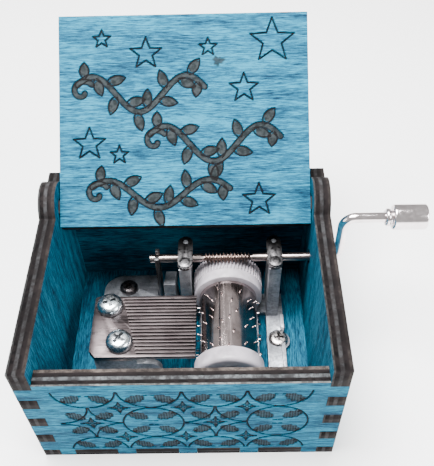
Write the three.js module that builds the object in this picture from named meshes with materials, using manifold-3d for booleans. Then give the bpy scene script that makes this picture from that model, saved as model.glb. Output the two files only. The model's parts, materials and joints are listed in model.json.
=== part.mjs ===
// A hand-cranked wooden music box: a finger-jointed plywood case with a swing lid, and inside it
// a comb movement whose pinned cylinder is turned by a worm on the crank's shaft.
// Millimetres, +Z up, -Y is the front and +X the crank's side.
// The origin is the centre of the case's underside.

import * as THREE from 'three';
import { mergeVertices } from 'three/addons/utils/BufferGeometryUtils.js';
import Module from 'manifold-3d';

const wasm = await Module();
wasm.setup();

// ---------------------------------------------------------------- driving dimensions

// Case
const CASE_WIDTH = 64;
const CASE_DEPTH = 55.5;
const PLY = 3.7;               // thickness of the walls and the lid
const SIDE_HEIGHT = 33.8;      // side and rear walls
const FRONT_HEIGHT = 29.7;     // the lid lies over the lower front wall
const BASE_THICKNESS = 2.65;
const SEAM = 0.05;             // glue gap on each side of a joint
const FINGER = 3.9;            // fingers of the front and rear walls
const SOCKET = 3.35;           // fingers of the side walls between them
const FINGER_COUNT = 4;
const BASE_TAB = 9.5;
const BASE_TAB_SPACE = 4;
const END_TABS = 4;            // base tabs in the front and in the rear wall
const SIDE_TABS = 3;           // base tabs in each side wall
const CRANK_HOLE_R = 1.7;

// Lid and its hinge
const HINGE_Y = 17.9;
const HINGE_Z = 31.75;
const EAR_R = 6;               // rounded ear of a side wall about the hinge
const PIN_WIDTH = 2.9;
const PIN_HOLE_R = 2.5;
const PIN_END_GAP = 0.1;       // from a pin's end to the wall's outer face
const LID_SIDE_GAP = 0.25;
const LID_TAIL = 4.6;          // behind the hinge
const LID_REACH = 43.1;        // from the hinge to the free edge
const LID_REST_GAP = 0.1;      // between the open lid and the rear wall's edge

// Movement: worm, wheel and cylinder
const SHAFT_Y = 11.4;
const SHAFT_Z = 21.45;
const SHAFT_R = 0.95;
const SHAFT_LEFT = -8.8;
const SHAFT_RIGHT = 29.4;
const GROOVE_R = 0.62;
const WORM_PITCH = 0.83;
const WORM_LEFT = 3.9;
const WORM_RIGHT = 14.75;
const WORM_PITCH_R = 1.0;
const WORM_TIP_R = 1.2;
const WORM_ROOT_R = 0.66;
const THREAD_HALF_CREST = 0.1;
const THREAD_HALF_BASE = 0.22;
const RINGS_PER_TURN = 7;
const WHEEL_TEETH = 60;
const WHEEL_PITCH_R = WHEEL_TEETH * WORM_PITCH / (2 * Math.PI);
const WHEEL_TIP_R = 8.2;
const WHEEL_ROOT_R = 7.6;
const WHEEL_FRONT = 6.3;
const WHEEL_BACK = 13.3;
const CYLINDER_X = 9.4;
const CYLINDER_Z = SHAFT_Z - WORM_PITCH_R - WHEEL_PITCH_R;
const CYLINDER_R = 6.85;
const CYLINDER_WALL = 0.65;
const CYLINDER_FRONT = -12.45;
const END_CAP_R = 7.75;
const END_CAP_THICKNESS = 3.6;
const SPIGOT_LENGTH = 2.8;     // of both plastic ends inside the cylinder
const ARBOR_R = 0.8;
const ARBOR_BORE_R = 0.9;
const PIN_LENGTH = 0.7;
const PIN_BASE_R = 0.24;
const PIN_TIP_R = 0.14;
const PINS_PER_TRACK = 4;

// Comb
const TEETH = 18;
const COMB_FRONT = -12.1;
const COMB_REAR = 4.9;
const COMB_LEFT = -21.6;
const COMB_TIP = 2.0;
const COMB_TOP = 15.6;
const COMB_THICKNESS = 1.6;
const TOOTH_THICKNESS = 0.9;
const TOOTH_GAP = 0.3;
const ROOT_REAR = -15.2;       // the line of the roots is slanted: long bass teeth in front
const ROOT_FRONT = -10.85;
const COMB_SCREWS = { comb_screw_rear: [-17.9, 1.9], comb_screw_front: [-15.0, -8.3] };
const COMB_SCREW_HEAD_R = 3.05;
const COMB_SCREW_HEAD_H = 2.2;
const COMB_SCREW_R = 1.4;
const COMB_SCREW_END = 9;

// Bedplate
const PLATE_BOTTOM = BASE_THICKNESS + SEAM;
const PLATE_TOP = 4.0;
const ARM_TOP = 5.0;           // the right arm is a thicker bar
const CAP_CENTRES = { left: -0.35, right: 20.2 };
const POST_RANGES = { left: [-1.75, 0.8], right: [18.9, 21.6] };
const CAP_WIDTH = 3.4;
const CAP_HALF_LENGTH = 5;
const CAP_BOTTOM = 22.75;
const CAP_THICKNESS = 0.8;
const CAP_Y = SHAFT_Y - 0.1;
const RIVET_OFFSET = 3.3;      // from the cap's middle, rivet in front and peg behind
const RIVET_R = 0.6;
const RIVET_HEAD_R = 1.65;
const RIVET_HEAD_H = 0.5;
const RIVET_END = 21;
const BRACKET = { left: 7.4, right: 11.4, top: 15, thickness: 1.4 };
const BRACKET_FRONT_Y = -16.9;
const BRACKET_REAR_Y = 15.2;
const BASE_SCREWS = {
  base_screw_left: [-16.1, 16.7],
  base_screw_right: [21.5, -0.2],
  base_screw_front: [-15, -15.8],
};
const BASE_SCREW_HEAD_R = 2.3;
const BASE_SCREW_HEAD_H = 1.5;
const BASE_SCREW_R = 1.0;
const BASE_SCREW_END = 0.6;
const FORK = { left: -7.4, right: -6.5, front: 9.6, rear: 13.2, top: 22.9 };

// Crank
const ROD_R = 1.1;
const CRANK_ARM_X = 34.9;
const CRANK_THROW = 12.3;
const CRANK_BEND_R = 2.4;
const KNOB_LEFT = 43.7;
const KNOB_RIGHT = 52.6;
const KNOB_R = 2.8;
const KNOB_WALL = 0.6;
const NECK_R = 1.95;
const NECK_LENGTH = 1.1;
const NECK_BORE_R = ROD_R + 0.08;

// Facets
const ROUND = 24;
const SMALL_ROUND = 14;
const RUNNING = 0.075;         // radial clearance of a turning shaft
const FIT = 0.06;              // radial clearance of a fixed pin, shank or arbor
const LAP = 0.4;               // how far joined shapes reach into each other

// ---------------------------------------------------------------- colours

function material(color, roughness, metalness) {
  return new THREE.MeshStandardMaterial({ color, roughness, metalness });
}

const blueWood = material(0x3f93a8, 0.75, 0);
const castZinc = material(0x8b9196, 0.45, 1);
const combSteel = material(0x83766f, 0.35, 1);
const nickel = material(0xc9c2bd, 0.18, 1);
const zincPlate = material(0xb9c4cc, 0.25, 1);
const darkSteel = material(0x2c2a2b, 0.4, 1);
const whitePlastic = material(0xe9e6e2, 0.45, 0);
const shaftSteel = material(0xb3a297, 0.3, 1);

// ---------------------------------------------------------------- solids

function toSolid(geometry) {
  const bare = new THREE.BufferGeometry();
  bare.setAttribute('position', geometry.getAttribute('position'));
  if (geometry.index) bare.setIndex(geometry.index);
  const merged = mergeVertices(bare, 1e-4);
  const kept = [];
  for (let i = 0; i < merged.index.count; i += 3) {
    const [a, b, c] = [0, 1, 2].map((k) => merged.index.getX(i + k));
    if (a !== b && b !== c && c !== a) kept.push(a, b, c);
  }
  return new wasm.Manifold(new wasm.Mesh({
    numProp: 3,
    vertProperties: Float32Array.from(merged.getAttribute('position').array),
    triVerts: Uint32Array.from(kept),
  }));
}

function toGeometry(solid) {
  const mesh = solid.getMesh();
  const geometry = new THREE.BufferGeometry();
  geometry.setAttribute('position', new THREE.BufferAttribute(Float32Array.from(mesh.vertProperties), 3));
  geometry.setIndex(new THREE.BufferAttribute(Uint32Array.from(mesh.triVerts), 1));
  return geometry;
}

function join(geometries, cuts = []) {
  let solid = toSolid(geometries[0]);
  for (const geometry of geometries.slice(1)) solid = solid.add(toSolid(geometry));
  for (const geometry of cuts) solid = solid.subtract(toSolid(geometry));
  return toGeometry(solid);
}

function block(x0, x1, y0, y1, z0, z1) {
  const box = new THREE.BoxGeometry(x1 - x0, y1 - y0, z1 - z0);
  return box.translate((x0 + x1) / 2, (y0 + y1) / 2, (z0 + z1) / 2);
}

// A disc or rod along one axis, from a to b on it, centred on (u, v) of the other two.
function rod(axis, u, v, a, b, radius, sides = ROUND) {
  const cylinder = new THREE.CylinderGeometry(radius, radius, b - a, sides);
  const middle = (a + b) / 2;
  if (axis === 'x') return cylinder.rotateZ(-Math.PI / 2).translate(middle, u, v);
  if (axis === 'y') return cylinder.translate(u, middle, v);
  return cylinder.rotateX(Math.PI / 2).translate(u, v, middle);
}

// A profile of [radius, distance] pairs turned about the axis through (u, v).
function turned(axis, u, v, profile, sides = ROUND) {
  const lathe = new THREE.LatheGeometry(profile.map(([r, d]) => new THREE.Vector2(r, d)), sides);
  if (axis === 'x') return lathe.rotateZ(-Math.PI / 2).translate(0, u, v);
  if (axis === 'y') return lathe.translate(u, 0, v);
  return lathe.rotateX(Math.PI / 2).translate(u, v, 0);
}

function plate(shape, z0, z1, curveSegments = 6) {
  const options = { depth: z1 - z0, bevelEnabled: false, curveSegments };
  return new THREE.ExtrudeGeometry(shape, options).translate(0, 0, z0);
}

// A shape drawn in Y and Z, extruded from x0 to x1.
function sidePlate(shape, x0, x1, curveSegments = 12) {
  const options = { depth: x1 - x0, bevelEnabled: false, curveSegments };
  const turn = new THREE.Matrix4().makeBasis(
    new THREE.Vector3(0, 1, 0), new THREE.Vector3(0, 0, 1), new THREE.Vector3(1, 0, 0));
  return new THREE.ExtrudeGeometry(shape, options).applyMatrix4(turn).translate(x0, 0, 0);
}

function outline(points) {
  return new THREE.Shape(points.map(([x, y]) => new THREE.Vector2(x, y)));
}

// ---------------------------------------------------------------- the case

const OUTER_X = CASE_WIDTH / 2;
const OUTER_Y = CASE_DEPTH / 2;
const INNER_X = OUTER_X - PLY;
const INNER_Y = OUTER_Y - PLY;

// Heights that the front and rear walls' fingers take up at a corner.
function fingerRanges() {
  const ranges = [];
  for (let k = 0; k < FINGER_COUNT; k += 1) {
    const low = BASE_THICKNESS + k * (FINGER + SOCKET);
    ranges.push([low, low + FINGER]);
  }
  return ranges;
}

// Starts and ends of the base's tabs along one edge.
function tabRanges(count) {
  const whole = count * BASE_TAB + (count - 1) * BASE_TAB_SPACE;
  const ranges = [];
  for (let k = 0; k < count; k += 1) {
    const start = -whole / 2 + k * (BASE_TAB + BASE_TAB_SPACE);
    ranges.push([start, start + BASE_TAB]);
  }
  return ranges;
}

function basePanel() {
  const parts = [block(-INNER_X + SEAM, INNER_X - SEAM, -INNER_Y + SEAM, INNER_Y - SEAM, 0, BASE_THICKNESS)];
  for (const [a, b] of tabRanges(END_TABS)) {
    parts.push(block(a + SEAM, b - SEAM, -OUTER_Y, OUTER_Y, 0, BASE_THICKNESS));
  }
  for (const [a, b] of tabRanges(SIDE_TABS)) {
    parts.push(block(-OUTER_X, OUTER_X, a + SEAM, b - SEAM, 0, BASE_THICKNESS));
  }
  const holes = Object.values(BASE_SCREWS).map(([x, y]) => (
    rod('z', x, y, BASE_SCREW_END - SEAM, BASE_THICKNESS + 1, BASE_SCREW_R + FIT, SMALL_ROUND)));
  return join(parts, holes);
}

// The front wall (side -1) and the rear wall (side +1).
function endWall(side, height) {
  const near = side * INNER_Y;
  const far = side * OUTER_Y;
  const [y0, y1] = [Math.min(near, far), Math.max(near, far)];
  const cuts = [];
  let free = -1;
  for (const [low, high] of [...fingerRanges(), [height + 1, height + 2]]) {
    for (const end of [-1, 1]) {
      const [x0, x1] = end < 0 ? [-OUTER_X - 1, -INNER_X + SEAM] : [INNER_X - SEAM, OUTER_X + 1];
      cuts.push(block(x0, x1, y0 - 1, y1 + 1, free, low + SEAM));
    }
    free = high - SEAM;
  }
  for (const [a, b] of tabRanges(END_TABS)) {
    cuts.push(block(a, b, y0 - 1, y1 + 1, -1, BASE_THICKNESS + SEAM));
  }
  return join([block(-OUTER_X, OUTER_X, y0, y1, 0, height)], cuts);
}

function sideWallShape() {
  const half = Math.sqrt(EAR_R ** 2 - (SIDE_HEIGHT - HINGE_Z) ** 2);
  const start = Math.asin((SIDE_HEIGHT - HINGE_Z) / EAR_R);
  const shape = new THREE.Shape();
  shape.moveTo(-OUTER_Y, 0);
  shape.lineTo(OUTER_Y, 0);
  shape.lineTo(OUTER_Y, SIDE_HEIGHT);
  shape.lineTo(HINGE_Y + half, SIDE_HEIGHT);
  shape.absarc(HINGE_Y, HINGE_Z, EAR_R, start, Math.PI - start, false);
  shape.lineTo(-OUTER_Y, SIDE_HEIGHT);
  shape.closePath();
  return shape;
}

function sideWall(side) {
  const [x0, x1] = side < 0 ? [-OUTER_X, -INNER_X] : [INNER_X, OUTER_X];
  const cuts = [rod('x', HINGE_Y, HINGE_Z, x0 - 1, x1 + 1, PIN_HOLE_R)];
  if (side > 0) cuts.push(rod('x', SHAFT_Y, SHAFT_Z, x0 - 1, x1 + 1, CRANK_HOLE_R));
  for (const [low, high] of fingerRanges()) {
    cuts.push(block(x0 - 1, x1 + 1, -OUTER_Y - 1, -INNER_Y + SEAM, low, high));
    cuts.push(block(x0 - 1, x1 + 1, INNER_Y - SEAM, OUTER_Y + 1, low, high));
  }
  for (const [a, b] of tabRanges(SIDE_TABS)) {
    cuts.push(block(x0 - 1, x1 + 1, a, b, -1, BASE_THICKNESS + SEAM));
  }
  return join([sidePlate(sideWallShape(), x0, x1)], cuts);
}

// The lid is drawn about its hinge, lying flat with its free edge towards +Y.
function lid() {
  const half = INNER_X - LID_SIDE_GAP;
  const pinEnd = OUTER_X - PIN_END_GAP;
  const board = block(-half, half, -LID_TAIL, LID_REACH, -PLY / 2, PLY / 2);
  const pins = block(-pinEnd, pinEnd, -PIN_WIDTH / 2, PIN_WIDTH / 2, -PLY / 2, PLY / 2);
  return join([board, pins]);
}

// The open lid leans back until its outer face lies on the rear wall's inner top edge.
function openAngle() {
  const dy = INNER_Y - HINGE_Y;
  const dz = SIDE_HEIGHT - HINGE_Z;
  return Math.atan2(dz, dy) + Math.asin((PLY / 2 + LID_REST_GAP) / Math.hypot(dy, dz));
}

// ---------------------------------------------------------------- bedplate and what it holds

// The foot: a lobe with a round corner behind the comb, a bridge under the worm, and one in front.
function footShapes() {
  const lobe = new THREE.Shape();
  const corner = 5;
  const [left, right, front, rear] = [-22.4, -8.5, -12, 21.2];
  lobe.moveTo(left + 0.8, front);
  lobe.lineTo(right, front);
  lobe.lineTo(right, rear);
  lobe.lineTo(left + corner, rear);
  lobe.absarc(left + corner, rear - corner, corner, Math.PI / 2, Math.PI, false);
  lobe.lineTo(left, 6);
  lobe.lineTo(left + 0.8, 4.5);
  lobe.closePath();
  const rearBridge = outline([[-9, 8.5], [23, 8.5], [23, 14.4], [12.5, 14.4],
    [12.5, 16.6], [6.5, 16.6], [6.5, 14.4], [-9, 14.4]]);
  const frontBridge = outline([[-19, -18.3], [12, -18.3], [12, -14], [-8, -13], [-8, -11], [-21, -11]]);
  return [lobe, rearBridge, frontBridge];
}

// The seat under the comb's heel, with a round shoulder beside it in front.
function combSeat() {
  const seatTop = COMB_TOP - COMB_THICKNESS - SEAM;
  const seat = outline([[-21, COMB_FRONT + 1.6], [-19.6, COMB_FRONT + 0.2], [-11.2, COMB_FRONT + 0.2],
    [-15.5, COMB_REAR - 0.2], [-21, COMB_REAR - 0.2]]);
  const shoulder = new THREE.Shape();
  const [reach, rise, round] = [-5.8, 12.6, 3];
  shoulder.moveTo(-14, PLATE_TOP - LAP);
  shoulder.lineTo(reach, PLATE_TOP - LAP);
  shoulder.lineTo(reach, rise - round);
  shoulder.absarc(reach - round, rise - round, round, 0, Math.PI / 2, false);
  shoulder.lineTo(-14, rise);
  shoulder.closePath();
  const wall = new THREE.ExtrudeGeometry(shoulder, { depth: 1.4, bevelEnabled: false, curveSegments: 6 });
  wall.rotateX(Math.PI / 2).translate(0, COMB_FRONT + 1.6, 0);
  return [plate(seat, PLATE_TOP - LAP, seatTop), wall];
}

// A post with an open saddle for the worm shaft and a peg that locates the cap.
function bearingPost(name) {
  const [x0, x1] = POST_RANGES[name];
  const x = CAP_CENTRES[name];
  const top = CAP_BOTTOM - SEAM;
  const column = block(x0, x1, CAP_Y - CAP_HALF_LENGTH + 0.3, CAP_Y + CAP_HALF_LENGTH - 0.3,
    PLATE_BOTTOM, top);
  const peg = rod('z', x, CAP_Y + RIVET_OFFSET, top - LAP, CAP_BOTTOM + CAP_THICKNESS, RIVET_R, SMALL_ROUND);
  return [column, peg];
}

function bearingPostCuts(name) {
  const [x0, x1] = POST_RANGES[name];
  const saddle = SHAFT_R + RUNNING;
  return [
    rod('x', SHAFT_Y, SHAFT_Z, x0 - 1, x1 + 1, saddle),
    block(x0 - 1, x1 + 1, SHAFT_Y - saddle, SHAFT_Y + saddle, SHAFT_Z, CAP_BOTTOM + 1),
    rod('z', CAP_CENTRES[name], CAP_Y - RIVET_OFFSET, RIVET_END - SEAM, CAP_BOTTOM + 1,
      RIVET_R + FIT, SMALL_ROUND),
  ];
}

// The slanted rib beside the left post.
function slantedRib() {
  const rib = outline([[8.4, PLATE_TOP - LAP], [16, PLATE_TOP - LAP], [16, 11.5], [8.4, 15.4]]);
  return sidePlate(rib, -5.9, -3.2);
}

function bracket(y) {
  return block(BRACKET.left, BRACKET.right, y - BRACKET.thickness, y, PLATE_TOP - LAP, BRACKET.top);
}

function bedplate() {
  const [screwX, screwY] = BASE_SCREWS.base_screw_right;
  const arm = [
    block(18.8, 22.9, -10, 9.5, PLATE_BOTTOM, ARM_TOP),
    block(22.1, 22.9, -10, 6, ARM_TOP - LAP, ARM_TOP + 1.3),
    rod('z', screwX, screwY, PLATE_BOTTOM, PLATE_TOP, BASE_SCREW_HEAD_R + 0.5),
  ];
  const parts = [
    ...footShapes().map((shape) => plate(shape, PLATE_BOTTOM, PLATE_TOP, 8)),
    ...arm,
    ...combSeat(),
    ...bearingPost('left'),
    ...bearingPost('right'),
    slantedRib(),
    bracket(BRACKET_FRONT_Y),
    bracket(BRACKET_REAR_Y + BRACKET.thickness),
  ];
  const cuts = [
    ...bearingPostCuts('left'),
    ...bearingPostCuts('right'),
    rod('z', screwX, screwY, PLATE_TOP, ARM_TOP + 3, BASE_SCREW_HEAD_R + 0.2),
    rod('y', CYLINDER_X, CYLINDER_Z, BRACKET_FRONT_Y - 3, BRACKET_REAR_Y + 3, ARBOR_R + FIT, SMALL_ROUND),
    block(FORK.left - 0.1, FORK.right + 0.1, FORK.front - 0.1, FORK.rear + 0.1, PLATE_TOP - 0.6, 30),
  ];
  for (const [x, y] of Object.values(BASE_SCREWS)) {
    cuts.push(rod('z', x, y, PLATE_BOTTOM - 1, PLATE_TOP + 1, BASE_SCREW_R + FIT, SMALL_ROUND));
  }
  for (const [x, y] of Object.values(COMB_SCREWS)) {
    cuts.push(rod('z', x, y, COMB_SCREW_END - SEAM, COMB_TOP, COMB_SCREW_R + FIT, SMALL_ROUND));
  }
  return join(parts, cuts);
}

function bearingCap(name) {
  const x = CAP_CENTRES[name];
  const r = CAP_WIDTH / 2;
  const straight = CAP_HALF_LENGTH - r;
  const pill = new THREE.Shape();
  pill.moveTo(x + r, CAP_Y - straight);
  pill.lineTo(x + r, CAP_Y + straight);
  pill.absarc(x, CAP_Y + straight, r, 0, Math.PI, false);
  pill.lineTo(x - r, CAP_Y - straight);
  pill.absarc(x, CAP_Y - straight, r, Math.PI, 2 * Math.PI, false);
  for (const offset of [-RIVET_OFFSET, RIVET_OFFSET]) {
    const hole = new THREE.Path();
    hole.absarc(x, CAP_Y + offset, RIVET_R + FIT, 0, 2 * Math.PI, true);
    pill.holes.push(hole);
  }
  return join([plate(pill, CAP_BOTTOM, CAP_BOTTOM + CAP_THICKNESS, 8)]);
}

function capRivet(name) {
  const low = CAP_BOTTOM + CAP_THICKNESS + SEAM;
  const profile = [[0, RIVET_END], [RIVET_R, RIVET_END], [RIVET_R, low], [RIVET_HEAD_R, low],
    [RIVET_HEAD_R, low + 0.2], [RIVET_HEAD_R * 0.7, low + RIVET_HEAD_H], [0, low + RIVET_HEAD_H]];
  return turned('z', CAP_CENTRES[name], CAP_Y - RIVET_OFFSET, profile, SMALL_ROUND);
}

// The thin plate whose fork holds the shaft by its groove.
function shaftFork() {
  const slot = GROOVE_R + RUNNING;
  const body = block(FORK.left, FORK.right, FORK.front, FORK.rear, PLATE_TOP - 0.5, FORK.top);
  return join([body], [
    rod('x', SHAFT_Y, SHAFT_Z, FORK.left - 1, FORK.right + 1, slot, SMALL_ROUND),
    block(FORK.left - 1, FORK.right + 1, SHAFT_Y - slot, SHAFT_Y + slot, SHAFT_Z, FORK.top + 1),
  ]);
}

// A screw with a domed head, standing on z with its shank down to end.
function screw([x, y], z, end, shankR, headR, headH) {
  const profile = [[0, end], [shankR * 0.6, end], [shankR, end + 0.4], [shankR, z], [headR, z],
    [headR, z + headH * 0.35], [headR * 0.85, z + headH * 0.75], [headR * 0.5, z + headH], [0, z + headH]];
  return turned('z', x, y, profile, SMALL_ROUND);
}

// ---------------------------------------------------------------- comb and cylinder

function toothPitch() {
  return (COMB_REAR - COMB_FRONT) / TEETH;
}

function combShape(withTeeth) {
  const root = (y) => ROOT_FRONT + (ROOT_REAR - ROOT_FRONT) * (y - COMB_FRONT) / (COMB_REAR - COMB_FRONT);
  const points = [[COMB_LEFT, COMB_FRONT + 1.7], [COMB_LEFT + 1.5, COMB_FRONT]];
  if (withTeeth) {
    points.push([COMB_TIP, COMB_FRONT]);
    for (let k = 1; k < TEETH; k += 1) {
      const y = COMB_FRONT + k * toothPitch();
      const half = TOOTH_GAP / 2;
      points.push([COMB_TIP, y - half], [root(y), y - half], [root(y), y + half], [COMB_TIP, y + half]);
    }
    points.push([COMB_TIP, COMB_REAR]);
  } else {
    points.push([root(COMB_FRONT) - 1, COMB_FRONT], [root(COMB_REAR) - 1, COMB_REAR]);
  }
  points.push([COMB_LEFT + 0.5, COMB_REAR], [COMB_LEFT, COMB_REAR - 0.5]);
  return outline(points);
}

function comb() {
  const top = plate(combShape(true), COMB_TOP - TOOTH_THICKNESS, COMB_TOP);
  const heel = plate(combShape(false), COMB_TOP - COMB_THICKNESS, COMB_TOP - TOOTH_THICKNESS);
  const holes = Object.values(COMB_SCREWS).map(([x, y]) => (
    rod('z', x, y, COMB_TOP - 3, COMB_TOP + 1, COMB_SCREW_R + FIT, SMALL_ROUND)));
  return join([top, heel], holes);
}

// The rolled sheet cylinder with its pins: one row of pins opposite each tooth.
function cylinder() {
  const inner = CYLINDER_R - CYLINDER_WALL;
  const rear = WHEEL_FRONT - SEAM;
  const tube = new THREE.Shape();
  tube.absarc(0, 0, CYLINDER_R, 0, 2 * Math.PI, false);
  const bore = new THREE.Path();
  bore.absarc(0, 0, inner, 0, 2 * Math.PI, true);
  tube.holes.push(bore);
  const wall = new THREE.ExtrudeGeometry(tube, {
    depth: rear - CYLINDER_FRONT, bevelEnabled: false, curveSegments: 24 });
  wall.rotateX(Math.PI / 2).translate(CYLINDER_X, rear, CYLINDER_Z);
  const parts = [wall];
  for (let track = 0; track < TEETH; track += 1) {
    const y = COMB_FRONT + (track + 0.5) * toothPitch();
    for (let k = 0; k < PINS_PER_TRACK; k += 1) {
      parts.push(pin(y, pinAngle(track, k)));
    }
  }
  return join(parts);
}

// Pins are spread around by the golden angle, with an uneven step from pin to pin.
function pinAngle(track, k) {
  const golden = Math.PI * (3 - Math.sqrt(5));
  return track * golden + k * 2 * Math.PI / PINS_PER_TRACK + 0.35 * Math.sin(3 * track + 5 * k);
}

function pin(y, angle) {
  const foot = 0.2;
  const cone = new THREE.CylinderGeometry(PIN_TIP_R, PIN_BASE_R, PIN_LENGTH + foot, 5);
  cone.translate(0, CYLINDER_R - foot + (PIN_LENGTH + foot) / 2, 0);
  cone.rotateX(Math.PI / 2).rotateY(angle);
  return cone.translate(CYLINDER_X, y, CYLINDER_Z);
}

// The worm wheel: helical teeth that follow the worm's thread, and a spigot inside the cylinder.
function wormWheel() {
  const shape = new THREE.Shape();
  const step = 2 * Math.PI / WHEEL_TEETH;
  for (let k = 0; k < WHEEL_TEETH; k += 1) {
    for (const [share, radius] of [[-0.3, WHEEL_ROOT_R], [-0.12, WHEEL_TIP_R],
      [0.12, WHEEL_TIP_R], [0.3, WHEEL_ROOT_R]]) {
      const angle = Math.PI / 2 + (k + share) * step;
      const point = [radius * Math.cos(angle), radius * Math.sin(angle)];
      if (k === 0 && share === -0.3) shape.moveTo(...point);
      else shape.lineTo(...point);
    }
  }
  shape.closePath();
  const width = WHEEL_BACK - WHEEL_FRONT;
  const rim = new THREE.ExtrudeGeometry(shape, { depth: width, steps: 2, bevelEnabled: false });
  rim.rotateX(Math.PI / 2).translate(0, WHEEL_BACK, 0);
  const twist = WORM_PITCH / (2 * Math.PI * WORM_PITCH_R * WHEEL_PITCH_R);
  const position = rim.getAttribute('position');
  for (let i = 0; i < position.count; i += 1) {
    const angle = (position.getY(i) - SHAFT_Y) * twist;
    const [x, z] = [position.getX(i), position.getZ(i)];
    position.setX(i, x * Math.cos(angle) + z * Math.sin(angle));
    position.setZ(i, z * Math.cos(angle) - x * Math.sin(angle));
  }
  rim.translate(CYLINDER_X, 0, CYLINDER_Z);
  const spigotR = CYLINDER_R - CYLINDER_WALL - FIT;
  const spigot = rod('y', CYLINDER_X, CYLINDER_Z, WHEEL_FRONT - SPIGOT_LENGTH, WHEEL_FRONT + LAP, spigotR);
  const bore = rod('y', CYLINDER_X, CYLINDER_Z, WHEEL_FRONT - 5, WHEEL_BACK + 1, ARBOR_BORE_R, SMALL_ROUND);
  return join([rim, spigot], [bore]);
}

// The plain plastic end of the cylinder, with a rounded rim.
function endCap() {
  const back = CYLINDER_FRONT - SEAM;
  const front = back - END_CAP_THICKNESS;
  const spigotR = CYLINDER_R - CYLINDER_WALL - FIT;
  const profile = [[ARBOR_BORE_R, front + 0.4], [4.6, front + 0.4], [5.4, front], [END_CAP_R - 0.7, front],
    [END_CAP_R, front + 0.7], [END_CAP_R, back], [spigotR, back], [spigotR, back + SPIGOT_LENGTH],
    [ARBOR_BORE_R, back + SPIGOT_LENGTH], [ARBOR_BORE_R, front + 0.4]];
  return turned('y', CYLINDER_X, CYLINDER_Z, profile, 36);
}

function arbor() {
  return rod('y', CYLINDER_X, CYLINDER_Z, BRACKET_FRONT_Y - BRACKET.thickness,
    BRACKET_REAR_Y + BRACKET.thickness, ARBOR_R, SMALL_ROUND);
}

// ---------------------------------------------------------------- worm shaft and crank

// Height of the thread over the shaft's root, from 0 to 1, at a place on the shaft's surface.
// At the shaft's underside it passes midway between the wheel's teeth, one of which points
// straight up.
function threadHeight(x, y, z) {
  const angle = Math.atan2(z - SHAFT_Z, y - SHAFT_Y) + Math.PI / 2;
  const turn = (x - CYLINDER_X) / WORM_PITCH - angle / (2 * Math.PI) + 0.5;
  const off = Math.abs(turn - Math.round(turn)) * WORM_PITCH;
  return THREE.MathUtils.clamp((THREAD_HALF_BASE - off) / (THREAD_HALF_BASE - THREAD_HALF_CREST), 0, 1);
}

function wormShaft() {
  const groove = 0.1;
  const profile = [[0, SHAFT_LEFT], [SHAFT_R - 0.2, SHAFT_LEFT], [SHAFT_R, SHAFT_LEFT + 0.2],
    [SHAFT_R, FORK.left - groove], [GROOVE_R, FORK.left - groove],
    [GROOVE_R, FORK.right + groove], [SHAFT_R, FORK.right + groove],
    [SHAFT_R, WORM_LEFT - 0.6], [WORM_ROOT_R, WORM_LEFT - 0.2]];
  const rings = Math.round((WORM_RIGHT - WORM_LEFT) / WORM_PITCH * RINGS_PER_TURN);
  for (let i = 0; i <= rings; i += 1) {
    profile.push([WORM_ROOT_R, WORM_LEFT + (WORM_RIGHT - WORM_LEFT) * i / rings]);
  }
  profile.push([WORM_ROOT_R, WORM_RIGHT + 0.2], [SHAFT_R, WORM_RIGHT + 0.6],
    [SHAFT_R, SHAFT_RIGHT], [0, SHAFT_RIGHT]);
  const shaft = turned('x', SHAFT_Y, SHAFT_Z, profile, 12);
  const position = shaft.getAttribute('position');
  for (let i = 0; i < position.count; i += 1) {
    const [x, y, z] = [position.getX(i), position.getY(i), position.getZ(i)];
    if (x < WORM_LEFT + 0.01 || x > WORM_RIGHT - 0.01) continue;
    const grown = 1 + threadHeight(x, y, z) * (WORM_TIP_R / WORM_ROOT_R - 1);
    position.setXYZ(i, x, SHAFT_Y + (y - SHAFT_Y) * grown, SHAFT_Z + (z - SHAFT_Z) * grown);
  }
  return join([shaft]);
}

// The crank: one bent rod whose headed end is caught inside the knob.
function crankArm() {
  const y = SHAFT_Y;
  const low = SHAFT_Z;
  const high = SHAFT_Z + CRANK_THROW;
  const r = CRANK_BEND_R;
  const at = (x, z) => new THREE.Vector3(x, y, z);
  const path = new THREE.CurvePath();
  const bend = (from, corner, to) => new THREE.QuadraticBezierCurve3(from, corner, to);
  const rodEnd = KNOB_RIGHT - 2;
  path.add(new THREE.LineCurve3(at(SHAFT_RIGHT + SEAM, low), at(CRANK_ARM_X - r, low)));
  path.add(bend(at(CRANK_ARM_X - r, low), at(CRANK_ARM_X, low), at(CRANK_ARM_X, low + r)));
  path.add(new THREE.LineCurve3(at(CRANK_ARM_X, low + r), at(CRANK_ARM_X, high - r)));
  path.add(bend(at(CRANK_ARM_X, high - r), at(CRANK_ARM_X, high), at(CRANK_ARM_X + r, high)));
  path.add(new THREE.LineCurve3(at(CRANK_ARM_X + r, high), at(rodEnd, high)));
  const section = new THREE.Shape();
  section.absarc(0, 0, ROD_R, 0, 2 * Math.PI, false);
  const bent = new THREE.ExtrudeGeometry(section, { extrudePath: path, steps: 34, curveSegments: 6 });
  const head = rod('x', y, high, rodEnd - LAP, rodEnd + 0.6, ROD_R + 0.6, SMALL_ROUND);
  return join([bent, head]);
}

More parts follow.
